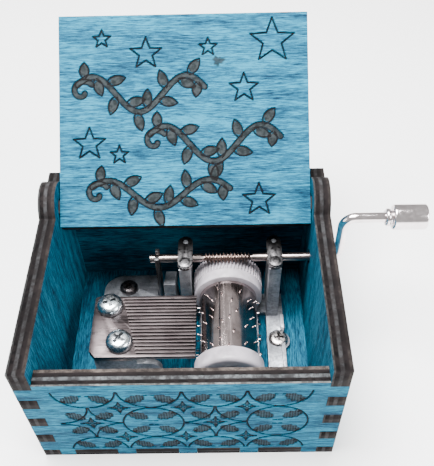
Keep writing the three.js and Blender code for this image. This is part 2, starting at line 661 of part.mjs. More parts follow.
// The knob: a drawn cup with a collar and a groove, free to turn on the crank's end.
function crankKnob() {
  const neckEnd = KNOB_LEFT + NECK_LENGTH;
  const bodyStart = neckEnd + 0.4;
  const inner = KNOB_R - KNOB_WALL;
  const profile = [[0, KNOB_RIGHT - KNOB_WALL], [inner, KNOB_RIGHT - KNOB_WALL],
    [inner, bodyStart + KNOB_WALL], [NECK_BORE_R, bodyStart + KNOB_WALL], [NECK_BORE_R, KNOB_LEFT],
    [NECK_R - 0.25, KNOB_LEFT], [NECK_R, KNOB_LEFT + 0.25], [NECK_R, neckEnd], [NECK_R - 0.35, neckEnd],
    [NECK_R - 0.35, bodyStart], [KNOB_R - 0.3, bodyStart], [KNOB_R, bodyStart + 0.3],
    [KNOB_R, KNOB_RIGHT - 0.4], [KNOB_R - 0.4, KNOB_RIGHT], [0, KNOB_RIGHT]];
  return turned('x', SHAFT_Y, SHAFT_Z + CRANK_THROW, profile, 24);
}

// ---------------------------------------------------------------- assembly

const musicBox = new THREE.Group();

function add(name, geometry, finish, parent = musicBox) {
  const mesh = new THREE.Mesh(geometry, finish);
  mesh.name = name;
  parent.add(mesh);
  return mesh;
}

add('base_panel', basePanel(), blueWood);
add('front_panel', endWall(-1, FRONT_HEIGHT), blueWood);
add('rear_panel', endWall(1, SIDE_HEIGHT), blueWood);
add('left_side_panel', sideWall(-1), blueWood);
add('right_side_panel', sideWall(1), blueWood);

const lidHinge = new THREE.Group();
lidHinge.position.set(0, HINGE_Y, HINGE_Z);
lidHinge.rotation.x = openAngle();
musicBox.add(lidHinge);
add('lid', lid(), blueWood, lidHinge);

add('bedplate', bedplate(), castZinc);
for (const name of ['left', 'right']) {
  add(`${name}_bearing_cap`, bearingCap(name), castZinc);
  add(`${name}_cap_rivet`, capRivet(name), nickel);
}
add('shaft_fork', shaftFork(), castZinc);
for (const [name, place] of Object.entries(BASE_SCREWS)) {
  const finish = name === 'base_screw_left' ? darkSteel : nickel;
  add(name, screw(place, PLATE_TOP + SEAM, BASE_SCREW_END, BASE_SCREW_R,
    BASE_SCREW_HEAD_R, BASE_SCREW_HEAD_H), finish);
}
add('comb', comb(), combSteel);
for (const [name, place] of Object.entries(COMB_SCREWS)) {
  add(name, screw(place, COMB_TOP + SEAM, COMB_SCREW_END, COMB_SCREW_R,
    COMB_SCREW_HEAD_R, COMB_SCREW_HEAD_H), zincPlate);
}
add('cylinder', cylinder(), nickel);
add('worm_wheel', wormWheel(), whitePlastic);
add('cylinder_end_cap', endCap(), whitePlastic);
add('cylinder_arbor', arbor(), shaftSteel);
add('worm_shaft', wormShaft(), shaftSteel);
add('crank_arm', crankArm(), nickel);
add('crank_knob', crankKnob(), nickel);

export default musicBox;
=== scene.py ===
"""Looks of a hand-cranked wooden music box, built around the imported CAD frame.

Lengths in this file are millimetres, and become metres where Blender is given them.
+X is the crank's side, -Y the front and +Z up.
"""
import json
import math

import bmesh
import bpy
import numpy as np
from mathutils import Matrix, Vector


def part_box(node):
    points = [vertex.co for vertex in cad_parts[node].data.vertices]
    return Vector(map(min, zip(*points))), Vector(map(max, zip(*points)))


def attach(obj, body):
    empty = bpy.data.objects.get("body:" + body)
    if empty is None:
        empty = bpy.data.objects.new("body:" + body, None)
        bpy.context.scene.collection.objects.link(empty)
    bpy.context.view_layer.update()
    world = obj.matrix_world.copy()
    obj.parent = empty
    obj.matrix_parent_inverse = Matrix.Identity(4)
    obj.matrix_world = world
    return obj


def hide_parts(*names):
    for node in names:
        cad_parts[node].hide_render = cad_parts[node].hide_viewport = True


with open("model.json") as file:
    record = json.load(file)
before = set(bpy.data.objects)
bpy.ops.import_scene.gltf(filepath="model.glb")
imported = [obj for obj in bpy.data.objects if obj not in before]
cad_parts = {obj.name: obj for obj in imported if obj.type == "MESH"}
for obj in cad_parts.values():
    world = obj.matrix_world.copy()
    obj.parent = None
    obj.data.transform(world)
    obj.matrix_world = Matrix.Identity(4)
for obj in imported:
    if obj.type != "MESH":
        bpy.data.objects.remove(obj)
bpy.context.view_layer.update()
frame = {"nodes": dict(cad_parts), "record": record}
MM = 0.001


def low_high(node):
    """A CAD node's lowest and highest corners in millimetres."""
    low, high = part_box(node)
    return [v / MM for v in low], [v / MM for v in high]


# -------- sizes taken from the frame

CASE_HIGH = low_high("base_panel")[1]
OUTER_X, OUTER_Y = CASE_HIGH[0], CASE_HIGH[1]
BASE_TOP = CASE_HIGH[2]
SIDE_LOW, SIDE_HIGH = low_high("left_side_panel")
PLY = SIDE_HIGH[0] - SIDE_LOW[0]
INNER_X, INNER_Y = OUTER_X - PLY, OUTER_Y - PLY
FRONT_HEIGHT = low_high("front_panel")[1][2]
SIDE_HEIGHT = low_high("rear_panel")[1][2]
JOINTS = {joint["name"]: joint for joint in frame["record"]["behaviour"]["joints"]}
HINGE = [v / MM for v in JOINTS["lid_hinge"]["pos_m"]]
SHAFT_Y, SHAFT_Z = [v / MM for v in JOINTS["crank_spin"]["pos_m"][1:]]
CYLINDER_X, _, CYLINDER_Z = [v / MM for v in JOINTS["cylinder_spin"]["pos_m"]]
LID_ANGLE = math.radians(180 - JOINTS["lid_hinge"]["range_deg"][1])

# Finger joints, as the walls are cut
FINGER, SOCKET, FINGER_COUNT = 3.9, 3.35, 4
BASE_TAB, BASE_TAB_SPACE = 9.5, 4.0
END_TABS, SIDE_TABS = 4, 3
SEAM = 0.05
EAR_R = 6.0
PIN_HOLE_R, CRANK_HOLE_R = 2.5, 1.7
LID_TAIL, LID_REACH = 4.6, 43.1
LID_HALF = INNER_X - 0.25
PIN_WIDTH = 2.9

FINGERS = [(BASE_TOP + k * (FINGER + SOCKET), BASE_TOP + k * (FINGER + SOCKET) + FINGER)
           for k in range(FINGER_COUNT)]


def tab_ranges(count):
    whole = count * BASE_TAB + (count - 1) * BASE_TAB_SPACE
    starts = [-whole / 2 + k * (BASE_TAB + BASE_TAB_SPACE) for k in range(count)]
    return [(start, start + BASE_TAB) for start in starts]


# -------- camera, floor and light

CAMERA_AZIMUTH, CAMERA_ELEVATION, CAMERA_ROLL = map(math.radians, (1.311, 52.922, -1.854))
CAMERA_DISTANCE = 151.986
CAMERA_TARGET = Vector((6.379, 0, 15))
CAMERA_LENS = 50.94         # for Blender's usual 36 mm sensor
CAMERA_SHIFT = (0.0037, 0.1726)


def make_camera():
    data = bpy.data.cameras.new("camera")
    data.lens = CAMERA_LENS
    data.shift_x, data.shift_y = CAMERA_SHIFT
    data.clip_start, data.clip_end = 0.01, 20
    camera = bpy.data.objects.new("camera", data)
    bpy.context.collection.objects.link(camera)
    a, e = CAMERA_AZIMUTH, CAMERA_ELEVATION
    back = Vector((math.sin(a) * math.cos(e), -math.cos(a) * math.cos(e), math.sin(e)))
    right = Vector((0, 0, 1)).cross(back).normalized()
    up = back.cross(right)
    turned_right = math.cos(CAMERA_ROLL) * right + math.sin(CAMERA_ROLL) * up
    turned_up = math.cos(CAMERA_ROLL) * up - math.sin(CAMERA_ROLL) * right
    matrix = Matrix((turned_right, turned_up, back)).transposed().to_4x4()
    matrix.translation = (CAMERA_TARGET + back * CAMERA_DISTANCE) * MM
    camera.matrix_world = matrix
    bpy.context.scene.camera = camera


def make_light(name, place, target, size, power):
    data = bpy.data.lights.new(name, "AREA")
    data.shape = "RECTANGLE"
    data.size = data.size_y = size * MM
    data.energy = power
    light = bpy.data.objects.new(name, data)
    bpy.context.collection.objects.link(light)
    light.location = Vector(place) * MM
    light.rotation_mode = "QUATERNION"
    direction = Vector(target) - Vector(place)
    light.rotation_quaternion = direction.to_track_quat("-Z", "Y")


def make_stage():
    world = bpy.context.scene.world or bpy.data.worlds.new("world")
    bpy.context.scene.world = world
    world.use_nodes = True
    background = world.node_tree.nodes.get("Background") or world.node_tree.nodes.new("ShaderNodeBackground")
    background.inputs["Color"].default_value = (1.0, 1.0, 1.0, 1)
    background.inputs["Strength"].default_value = 0.55
    make_light("key", (-60, 30, 420), (0, 0, 20), 260, 10.0)
    make_light("fill", (300, -160, 220), (20, 0, 15), 160, 2.0)
    make_light("side", (-330, -60, 180), (0, 0, 20), 160, 0.4)
    half = 1500
    floor = mesh("floor", [(-half, -half, 0), (half, -half, 0), (half, half, 0), (-half, half, 0)],
                 [(0, 1, 2, 3)])
    graph = Graph("floor_paper")
    graph.colour((0.93, 0.93, 0.93))
    graph.shader.inputs["Roughness"].default_value = 0.8
    floor.data.materials.append(graph.material)


# -------- mesh helpers

def mesh(name, points, faces):
    data = bpy.data.meshes.new(name)
    data.from_pydata([tuple(c * MM for c in p) for p in points], [], [tuple(f) for f in faces])
    data.validate()
    data.update()
    piece = bpy.data.objects.new(name, data)
    bpy.context.collection.objects.link(piece)
    return piece


def face_outward(piece):
    """Makes the faces of a closed piece point outward."""
    work = bmesh.new()
    work.from_mesh(piece.data)
    bmesh.ops.recalc_face_normals(work, faces=work.faces)
    work.to_mesh(piece.data)
    work.free()


def smooth_by_angle(piece, degrees=32):
    piece.data.shade_smooth()
    piece.data.set_sharp_from_angle(angle=math.radians(degrees))


def applied(piece):
    """Applies a piece's modifiers."""
    depsgraph = bpy.context.evaluated_depsgraph_get()
    data = bpy.data.meshes.new_from_object(piece.evaluated_get(depsgraph))
    piece.modifiers.clear()
    old = piece.data
    piece.data = data
    if old.users == 0:
        bpy.data.meshes.remove(old)
    return piece


def bevelled(piece, width):
    modifier = piece.modifiers.new("bevel", "BEVEL")
    modifier.width = width * MM
    modifier.segments = 2
    modifier.limit_method = "ANGLE"
    modifier.angle_limit = math.radians(30)
    return applied(piece)


def refined(node, name, width):
    """A copy of a CAD node's shape with its edges rounded, which stands for the node."""
    data = frame["nodes"][node].data.copy()
    data.materials.clear()
    piece = bpy.data.objects.new(name, data)
    bpy.context.collection.objects.link(piece)
    work = bmesh.new()
    work.from_mesh(data)
    bmesh.ops.remove_doubles(work, verts=work.verts, dist=0.002 * MM)
    bmesh.ops.dissolve_limit(work, angle_limit=math.radians(1), verts=work.verts, edges=work.edges)
    work.to_mesh(data)
    work.free()
    if "custom_normal" in data.attributes:
        data.attributes.remove(data.attributes["custom_normal"])
    bevelled(piece, width)
    smooth_by_angle(piece)
    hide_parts(node)
    return piece


def lathe(name, profile, axis, centre, sides=64, radius_at=None):
    """A closed profile of (distance, radius) pairs turned about an axis.
    radius_at(distance, angle, radius) may change a point's radius."""
    loops, points, faces = [], [], []
    for distance, radius in profile:
        if radius <= 0:
            loops.append([len(points)])
            points.append((distance, 0, 0))
            continue
        ring = []
        for k in range(sides):
            angle = 2 * math.pi * k / sides
            r = radius_at(distance, angle, radius) if radius_at else radius
            ring.append(len(points))
            points.append((distance, r * math.cos(angle), r * math.sin(angle)))
        loops.append(ring)
    pairs = list(zip(loops, loops[1:]))
    if len(loops[0]) > 1:
        pairs.append((loops[-1], loops[0]))
    for a, b in pairs:
        for k in range(sides):
            n = (k + 1) % sides
            corners = [a[k % len(a)], a[n % len(a)], b[n % len(b)], b[k % len(b)]]
            unique = list(dict.fromkeys(corners))
            if len(unique) > 2:
                faces.append(unique)
    order = {"x": (0, 1, 2), "y": (2, 0, 1), "z": (1, 2, 0)}[axis]
    placed = [tuple(p[order[i]] + centre[i] for i in range(3)) for p in points]
    piece = mesh(name, placed, faces)
    face_outward(piece)
    smooth_by_angle(piece, 40)
    return piece


def ring(centre, side, up, radius, sides):
    """Points on a circle about a centre, with side and up as its two axes."""
    turns = [2 * math.pi * k / sides for k in range(sides)]
    return [tuple(centre + (side * math.cos(a) + up * math.sin(a)) * radius) for a in turns]


def skin(points, faces, rings):
    """Adds a skin over rings of points and closes both of its ends."""
    sides, start = len(rings[0]), len(points)
    points += [point for each in rings for point in each]
    for a in range(start, len(points) - sides, sides):
        for k in range(sides):
            n = (k + 1) % sides
            faces.append((a + k, a + sides + k, a + sides + n, a + n))
    faces.append(tuple(range(start, start + sides)))
    faces.append(tuple(reversed(range(len(points) - sides, len(points)))))


def arc(centre, radius, start, end, steps):
    """Points on an arc in a plane, with angles in degrees."""
    angles = np.radians(np.linspace(start, end, steps + 1))
    return [(centre[0] + radius * math.cos(a), centre[1] + radius * math.sin(a)) for a in angles]


def sheet_panel(name, outer, holes, frame_matrix, thickness):
    """A flat panel cut to an outline, which is in the panel's own plane."""
    rounding = 0.05
    curve = bpy.data.curves.new(name, "CURVE")
    curve.dimensions = "2D"
    curve.fill_mode = "BOTH"
    curve.extrude = (thickness / 2 - rounding) * MM
    curve.bevel_depth = rounding * MM
    curve.bevel_resolution = 1
    curve.offset = -rounding * MM
    for loop in [outer, *holes]:
        spline = curve.splines.new("POLY")
        spline.points.add(len(loop) - 1)
        for point, (x, y) in zip(spline.points, loop):
            point.co = (x * MM, y * MM, 0, 1)
        spline.use_cyclic_u = True
    holder = bpy.data.objects.new(name + "_outline", curve)
    bpy.context.collection.objects.link(holder)
    bpy.context.view_layer.update()
    depsgraph = bpy.context.evaluated_depsgraph_get()
    data = bpy.data.meshes.new_from_object(holder.evaluated_get(depsgraph))
    bpy.data.objects.remove(holder)
    data.name = name
    data.transform(frame_matrix)
    piece = bpy.data.objects.new(name, data)
    bpy.context.collection.objects.link(piece)
    work = bmesh.new()
    work.from_mesh(data)
    bmesh.ops.remove_doubles(work, verts=work.verts, dist=0.001 * MM)
    bmesh.ops.recalc_face_normals(work, faces=work.faces)
    work.to_mesh(data)
    work.free()
    return piece


def plane_matrix(origin, u, v):
    """The matrix that takes a panel's own axes (u, v and its normal) to the object's frame."""
    u, v = Vector(u), Vector(v)
    matrix = Matrix((u, v, u.cross(v))).transposed().to_4x4()
    matrix.translation = Vector(origin) * MM
    return matrix


# -------- materials

class Graph:
    """A Principled material with short calls for its nodes."""

    def __init__(self, name):
        self.material = bpy.data.materials.new(name)
        self.material.use_nodes = True
        self.tree = self.material.node_tree
        self.shader = self.tree.nodes["Principled BSDF"]
        self.place = self.tree.nodes.new("ShaderNodeTexCoord").outputs["Object"]

    def colour(self, value):
        self.shader.inputs["Base Color"].default_value = (*value, 1)

    def node(self, kind, **inputs):
        made = self.tree.nodes.new(kind)
        for key, value in inputs.items():
            self.join(value, made.inputs[key.replace("_", " ")])
        return made

    def join(self, value, socket):
        if isinstance(value, bpy.types.NodeSocket):
            self.tree.links.new(value, socket)
        else:
            socket.default_value = value

    def scaled(self, scale, shift=(0, 0, 0)):
        mapping = self.node("ShaderNodeMapping", Vector=self.place)
        mapping.inputs["Scale"].default_value = scale
        mapping.inputs["Location"].default_value = shift
        return mapping.outputs["Vector"]

    def noise(self, scale, detail=4.0, roughness=0.55, distortion=0.0, shift=(0, 0, 0)):
        """Noise with this many waves per metre, the same along each axis or a number for each."""
        vector = self.scaled(scale if isinstance(scale, list) else [scale] * 3, shift)
        made = self.node("ShaderNodeTexNoise", Vector=vector, Scale=1.0, Detail=detail,
                         Roughness=roughness, Distortion=distortion)
        return made.outputs["Fac"]

    def ramp(self, factor, stops, smooth=True):
        made = self.node("ShaderNodeValToRGB", Fac=factor)
        elements = made.color_ramp.elements
        while len(elements) < len(stops):
            elements.new(0.5)
        for element, (position, value) in zip(elements, stops):
            element.position = position
            grey = isinstance(value, (int, float))
            element.color = (value, value, value, 1) if grey else (*value, 1)
        made.color_ramp.interpolation = "EASE" if smooth else "LINEAR"
        return made.outputs["Color"]

    def math(self, operation, a, b):
        made = self.tree.nodes.new("ShaderNodeMath")
        made.operation = operation
        self.join(a, made.inputs[0])
        self.join(b, made.inputs[1])
        return made.outputs[0]

    def mix(self, factor, a, b, blend="MIX"):
        made = self.tree.nodes.new("ShaderNodeMix")
        made.data_type = "RGBA"
        made.blend_type = blend
        for value, index in ((factor, 0), (a, 6), (b, 7)):
            if isinstance(value, tuple) and len(value) == 3:
                value = (*value, 1)
            self.join(value, made.inputs[index])
        return made.outputs[2]

    def attribute(self, name):
        made = self.tree.nodes.new("ShaderNodeAttribute")
        made.attribute_name = name
        return made.outputs["Fac"]

    def bump(self, height, strength, distance):
        made = self.node("ShaderNodeBump", Height=height, Strength=strength, Distance=distance * MM)
        self.join(made.outputs["Normal"], self.shader.inputs["Normal"])

    def finish(self, colour, roughness, metallic=0.0):
        self.join(colour, self.shader.inputs["Base Color"])
        self.join(roughness, self.shader.inputs["Roughness"])
        self.shader.inputs["Metallic"].default_value = metallic
        return self.material


STAIN_DARK = (0.0030, 0.014, 0.032)
STAIN_MID = (0.0050, 0.070, 0.125)
STAIN_LIGHT = (0.0095, 0.160, 0.250)
SOOT = (0.0022, 0.0018, 0.002)
CHAR = (0.012, 0.0095, 0.0095)
GRAIN_ALONG, GRAIN_ACROSS = 300.0, 3600.0


def stained_veneer(name, grain, shift, engraved=False, painted_light_level=1.0):
    """Blue-stained plywood face. grain is the axis that its fibres run along. painted_light_level scales the
    stain colours down, as painted shade for faces inside the box.
    """
    graph = Graph(name)
    fibre = [GRAIN_ACROSS] * 3
    fibre["xyz".index(grain)] = GRAIN_ALONG
    band = [GRAIN_ACROSS * 0.13] * 3
    band["xyz".index(grain)] = GRAIN_ALONG * 0.2
    fine = graph.noise(fibre, 6.0, 0.72, 0.0, shift)
    broad = graph.noise(band, 2.0, 0.5, 0.0, shift)
    pore = graph.noise([f * 1.7 for f in fibre], 2.0, 0.5, 0.0, shift)
    tint = graph.math("ADD", graph.math("MULTIPLY", fine, 0.72), graph.math("MULTIPLY", broad, 0.28))
    # Painted shade: the stain colours are darkened by painted_light_level where a face lies inside the box.
    shade = [tuple(c * painted_light_level for c in stain) for stain in (STAIN_DARK, STAIN_MID, STAIN_LIGHT)]
    colour = graph.ramp(tint, [(0.38, shade[0]), (0.48, shade[1]), (0.58, shade[2])])
    lines = graph.ramp(pore, [(0.38, 1.0), (0.44, 0.0)])
    colour = graph.mix(graph.math("MULTIPLY", lines, 0.5), colour, shade[0])
    height = graph.math("ADD", fine, graph.math("MULTIPLY", lines, -0.5))
    if engraved:
        mottle = graph.noise(900, 3.0)
        ash = graph.ramp(mottle, [(0.35, (0.006, 0.009, 0.010)), (0.62, (0.020, 0.025, 0.027))])
        colour = graph.mix(graph.attribute("char"), colour, ash)
        colour = graph.mix(graph.attribute("burn"), colour, SOOT)
    graph.bump(height, 0.35, 0.05)
    rough = graph.ramp(fine, [(0.3, 0.82), (0.7, 0.62)])
    graph.shader.inputs["Specular IOR Level"].default_value = 0.08
    return graph.finish(colour, rough)


def burnt_edge(name, across, start, thickness, contrast=1.0):
    """Laser-cut plywood edge: soot over the plies, which are stripes across the board."""
    graph = Graph(name)
    split = graph.node("ShaderNodeSeparateXYZ", Vector=graph.place)
    along = split.outputs["XYZ".index(across.upper())]
    wobble = graph.math("MULTIPLY", graph.math("SUBTRACT", graph.noise(160, 3.0), 0.5), 0.22 * MM)
    depth = graph.math("SUBTRACT", graph.math("ADD", along, wobble), start * MM)
    share = graph.math("DIVIDE", depth, thickness * MM)
    pale = (0.130, 0.140, 0.138)
    grey = (0.110, 0.118, 0.125)
    tan = (0.085, 0.070, 0.062)
    mixed = [tuple(CHAR[i] + (c[i] - CHAR[i]) * contrast for i in range(3)) for c in (pale, grey, tan)]
    stripes = graph.ramp(share, [(0.0, mixed[0]), (0.08, mixed[0]), (0.13, SOOT), (0.31, SOOT),
                                 (0.38, mixed[1]), (0.52, mixed[1]), (0.58, SOOT), (0.78, CHAR),
                                 (0.84, mixed[2]), (1.0, mixed[2])], smooth=False)
    grit = graph.noise(700, 5.0, 0.7)
    scorch = graph.noise(90, 4.0, 0.6)
    colour = graph.mix(graph.ramp(grit, [(0.40, 0.75), (0.62, 0.0)]), stripes, CHAR)
    colour = graph.mix(graph.ramp(scorch, [(0.42, 0.5), (0.60, 0.0)]), colour, SOOT)
    graph.bump(grit, 0.5, 0.08)
    graph.shader.inputs["Specular IOR Level"].default_value = 0.1
    return graph.finish(colour, 0.9)


def metal(name, colour, dull, rough, brush=None, tint=None, grime=0.0, bump=0.15):
    """Metal with a finely varied finish. brush is the axis of its brush marks."""
    graph = Graph(name)
    scale = [1500.0] * 3
    if brush:
        scale = [2600.0] * 3
        scale["xyz".index(brush)] = 120.0
    fine = graph.noise(scale, 4.0, 0.6)
    cloud = graph.noise(220, 4.0, 0.6)
    shade = graph.ramp(cloud, [(0.35, dull), (0.62, colour)])
    if tint:
        patches = graph.ramp(graph.noise(330, 2.0), [(0.5, 0.0), (0.7, 0.3)])
        shade = graph.mix(patches, shade, tint)
    if grime:
        shade = graph.mix(graph.ramp(fine, [(0.30, grime), (0.50, 0.0)]), shade, (0.05, 0.045, 0.04))
    spread = graph.ramp(fine, [(0.25, min(1.0, rough * 1.6)), (0.75, rough * 0.7)])
    graph.bump(fine, bump, 0.02)
    return graph.finish(shade, spread, 1.0)


def white_plastic():
    graph = Graph("milky_plastic")
    cloud = graph.noise(240, 4.0, 0.6)
    colour = graph.ramp(cloud, [(0.3, (0.25, 0.23, 0.25)), (0.65, (0.38, 0.35, 0.385))])
    fine = graph.noise(1400, 3.0)
    graph.bump(fine, 0.12, 0.03)
    graph.shader.inputs["Subsurface Weight"].default_value = 0.15
    graph.shader.inputs["Subsurface Radius"].default_value = (1.2, 1.0, 0.9)
    graph.shader.inputs["Subsurface Scale"].default_value = 0.0008
    return graph.finish(colour, graph.ramp(fine, [(0.3, 0.5), (0.7, 0.36)]))


def dress(piece, material, body):
    """Gives a piece its material and body."""
    piece.data.materials.clear()
    piece.data.materials.append(material)
    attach(piece, body)


def dress_panel(piece, outer, edge, outward, inner=None, facing=0.9):
    """The outer face is veneer and the cut sides are burnt. The inner face is a veneer of its own,
    or the same one. facing is how squarely a face must look outward to count as the outer face."""
    piece.data.materials.clear()
    for material in (outer, edge, inner):
        if material:
            piece.data.materials.append(material)
    for face in piece.data.polygons:
        turned = face.normal.dot(Vector(outward))
        if turned > facing:
            face.material_index = 0
        elif turned < -0.9:
            face.material_index = 2 if inner else 0
        else:
            face.material_index = 1
    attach(piece, "case")


# -------- engraving

class Drawing:
    """Depth and scorching of an engraved face, worked out on a grid of points in millimetres."""

    def __init__(self, u, v):
        self.u, self.v = u, v
        self.burn = np.zeros(u.shape)
        self.char = np.zeros(u.shape)
        self.depth = np.zeros(u.shape)

    def window(self, points, margin):
        points = np.asarray(points)
        low, high = points.min(0) - margin, points.max(0) + margin
        inside = (self.u > low[0]) & (self.u < high[0]) & (self.v > low[1]) & (self.v < high[1])
        return np.nonzero(inside)

    def distance(self, where, points):
        u, v = self.u[where], self.v[where]
        nearest = np.full(u.shape, 1e9)
        for (ax, ay), (bx, by) in zip(points, points[1:]):
            dx, dy = bx - ax, by - ay
            length = max(dx * dx + dy * dy, 1e-12)
            t = np.clip(((u - ax) * dx + (v - ay) * dy) / length, 0, 1)
            nearest = np.minimum(nearest, np.hypot(u - ax - t * dx, v - ay - t * dy))
        return nearest

    def mark(self, where, burn, depth):
        self.burn[where] = np.maximum(self.burn[where], burn)
        self.depth[where] = np.maximum(self.depth[where], depth)

    def line(self, points, half=0.2, deep=0.28):
        where = self.window(points, half + 0.4)
        d = self.distance(where, points)
        cover = np.clip((half + 0.05 - d) / 0.1, 0, 1)
        self.mark(where, cover, cover * deep)

    def ribbon(self, points, half=0.55, rim=0.18, deep=0.22):
        """A charred stroke with a darker outline."""
        where = self.window(points, half + 0.6)
        d = self.distance(where, points)
        inside = np.clip((half - d) / 0.12, 0, 1)
        edge = np.clip((rim + 0.05 - np.abs(d - half)) / 0.12, 0, 1)
        self.char[where] = np.maximum(self.char[where], inside)
        self.mark(where, edge, np.maximum(inside * deep, edge * deep * 1.2))

    def leaf(self, centre, length, width, degrees, hatch=0.55):
        """A pointed leaf, hatched across, with a dark edge."""
        reach = length / 2 + 0.5
        where = self.window([centre], reach)
        a = math.radians(degrees)
        du, dv = self.u[where] - centre[0], self.v[where] - centre[1]
        along = du * math.cos(a) + dv * math.sin(a)
        across = dv * math.cos(a) - du * math.sin(a)
        s = np.clip(np.abs(along) / (length / 2), 0, 1)
        half = width / 2 * (1 - s ** 2) ** 0.6 * (1 + 0.12 * np.sin(5 * along))
        inside = np.clip((half - np.abs(across)) / 0.1, 0, 1) * (np.abs(along) < length / 2)
        edge = np.clip((0.16 - np.abs(half - np.abs(across))) / 0.12, 0, 1) * (np.abs(along) < length / 2)
        bars = 0.5 + 0.5 * np.cos(2 * math.pi * du / hatch)
        self.char[where] = np.maximum(self.char[where], inside * 0.8)
        self.mark(where, np.maximum(edge * 0.75, inside * np.clip(bars * 1.6 - 0.75, 0, 0.85)),
                  inside * (0.12 + 0.12 * bars))

    def star(self, centre, radius):
        """The outline of a five-pointed star."""
        points = []
        for k in range(11):
            r = radius * (1.0 if k % 2 == 0 else 0.42)
            a = math.pi / 2 + k * math.pi / 5
            points.append((centre[0] + r * math.cos(a), centre[1] + r * math.sin(a)))
        self.line(points, 0.19)


def engraved_board(name, us, vs, is_inside, draw, thickness, frame_matrix):
    """A board with one engraved face. us and vs are grid lines that its straight outline follows.
    Its own axes are u, v and the engraved face's outward normal; its back lies at -thickness."""
    u, v = np.meshgrid(us, vs, indexing="ij")
    drawing = Drawing(u, v)
    draw(drawing)
    centre_u = (us[:-1] + us[1:]) / 2
    centre_v = (vs[:-1] + vs[1:]) / 2
    cells = is_inside(*np.meshgrid(centre_u, centre_v, indexing="ij"))
    index = np.arange(u.size).reshape(u.shape)
    quads = np.stack([index[:-1, :-1], index[1:, :-1], index[1:, 1:], index[:-1, 1:]], -1)[cells]
    edges = {}
    for a, b in np.concatenate([quads[:, [k, (k + 1) % 4]] for k in range(4)]).tolist():
        if (b, a) in edges:
            del edges[(b, a)]
        else:
            edges[(a, b)] = True
    following = dict(edges.keys())
    start = next(iter(following))
    loop, here = [start], following[start]
    while here != start:
        loop.append(here)
        here = following[here]
    used = np.unique(quads)
    renumber = np.full(u.size, -1)
    renumber[used] = np.arange(len(used))
    top = np.stack([u.ravel()[used], v.ravel()[used], -drawing.depth.ravel()[used]], -1)
    low = [(u.ravel()[k], v.ravel()[k], -thickness) for k in loop]
    points = [*map(tuple, top), *low]
    base = len(top)
    faces = renumber[quads].tolist()
    count = len(loop)
    for k in range(count):
        n = (k + 1) % count
        faces.append([int(renumber[loop[k]]), base + k, base + n, int(renumber[loop[n]])])
    faces.append([base + k for k in reversed(range(count))])
    piece = mesh(name, points, faces)
    for key, values in (("burn", drawing.burn), ("char", drawing.char)):
        layer = piece.data.attributes.new(key, "FLOAT", "POINT")
        full = np.zeros(len(points), dtype=np.float32)
        full[:base] = values.ravel()[used]
        layer.data.foreach_set("value", full)
    piece.data.transform(frame_matrix)
    return piece


def grid_lines(stops, step):
    """Grid lines through every stop, about a step apart between them."""
    stops = sorted(set(round(s, 5) for s in stops))
    lines = [stops[0]]
    for a, b in zip(stops, stops[1:]):
        count = max(1, round((b - a) / step))
        lines.extend(a + (b - a) * k / count for k in range(1, count + 1))
    return np.array(lines)


GRID_STEP = 0.16


# -------- the case

def draw_vines(drawing):
    """Rings and four-pointed stars in three rows, with leaves in them and diamonds between."""
    pitch, middle, ring = 12.7, 14.7, 6.2
    columns = [(k - 1.5) * pitch for k in range(4)]
    for k, x in enumerate(columns):
        if k % 2:
            drawing.line(arc((x, middle), ring, 0, 360, 48))
            for sy in (-1, 1):
                drawing.line([(x - 0.9, middle + sy * 0.8), (x - 0.3, middle + sy * 0.8)], 0.16)
                drawing.line([(x + 0.3, middle + sy * 0.8), (x + 0.9, middle + sy * 0.8)], 0.16)
        else:
            for quarter in range(4):
                corner = math.pi / 4 + quarter * math.pi / 2
                far = pitch / 2 * math.sqrt(2)
                centre = (x + far * math.cos(corner), middle + far * math.sin(corner))
                drawing.line(arc(centre, ring, 180 + quarter * 90, 270 + quarter * 90, 16))
            flower(drawing, x, middle, 2.4)
        leaves(drawing, x, middle, (-1, 1))
    for row in (-1, 1):
        centre = middle + row * pitch
        for x in columns:
            drawing.line(arc((x, centre), ring, *((184, 356) if row > 0 else (12, 168)), 28))
            leaves(drawing, x, centre, (-row,))
            for sx in (-1, 1):
                drawing.line([(x + sx * 0.5, centre - row * 1.6), (x + sx * 1.1, centre - row * 1.6)], 0.16)
        for k in (-1, 0, 1):
            flower(drawing, k * pitch, middle + row * pitch / 2, 2.3)


def leaves(drawing, x, y, rows):
    for sx in (-1, 1):
        for sy in rows:
            drawing.leaf((x + sx * 2.9, y + sy * 3.0), 4.5, 2.7, sx * sy * 32)
            stem = (x + sx * 4.4, y + sy * 4.2)
            drawing.line([(x + sx * 3.9, y + sy * 3.6), stem], 0.2)


def flower(drawing, x, y, size):
    """A four-petalled flower with concave sides."""
    for quarter in range(4):
        corner = math.pi / 4 + quarter * math.pi / 2
        centre = (x + size * math.sqrt(2) * math.cos(corner), y + size * math.sqrt(2) * math.sin(corner))
        drawing.line(arc(centre, size * 0.98, 180 + quarter * 90, 270 + quarter * 90, 8), 0.12)
    for a in range(4):
        dx, dy = math.cos(a * math.pi / 2), math.sin(a * math.pi / 2)
        drawing.leaf((x + dx * size * 0.45, y + dy * size * 0.45), size * 0.8, size * 0.32,
                     90 if a % 2 else 0, 0.3)


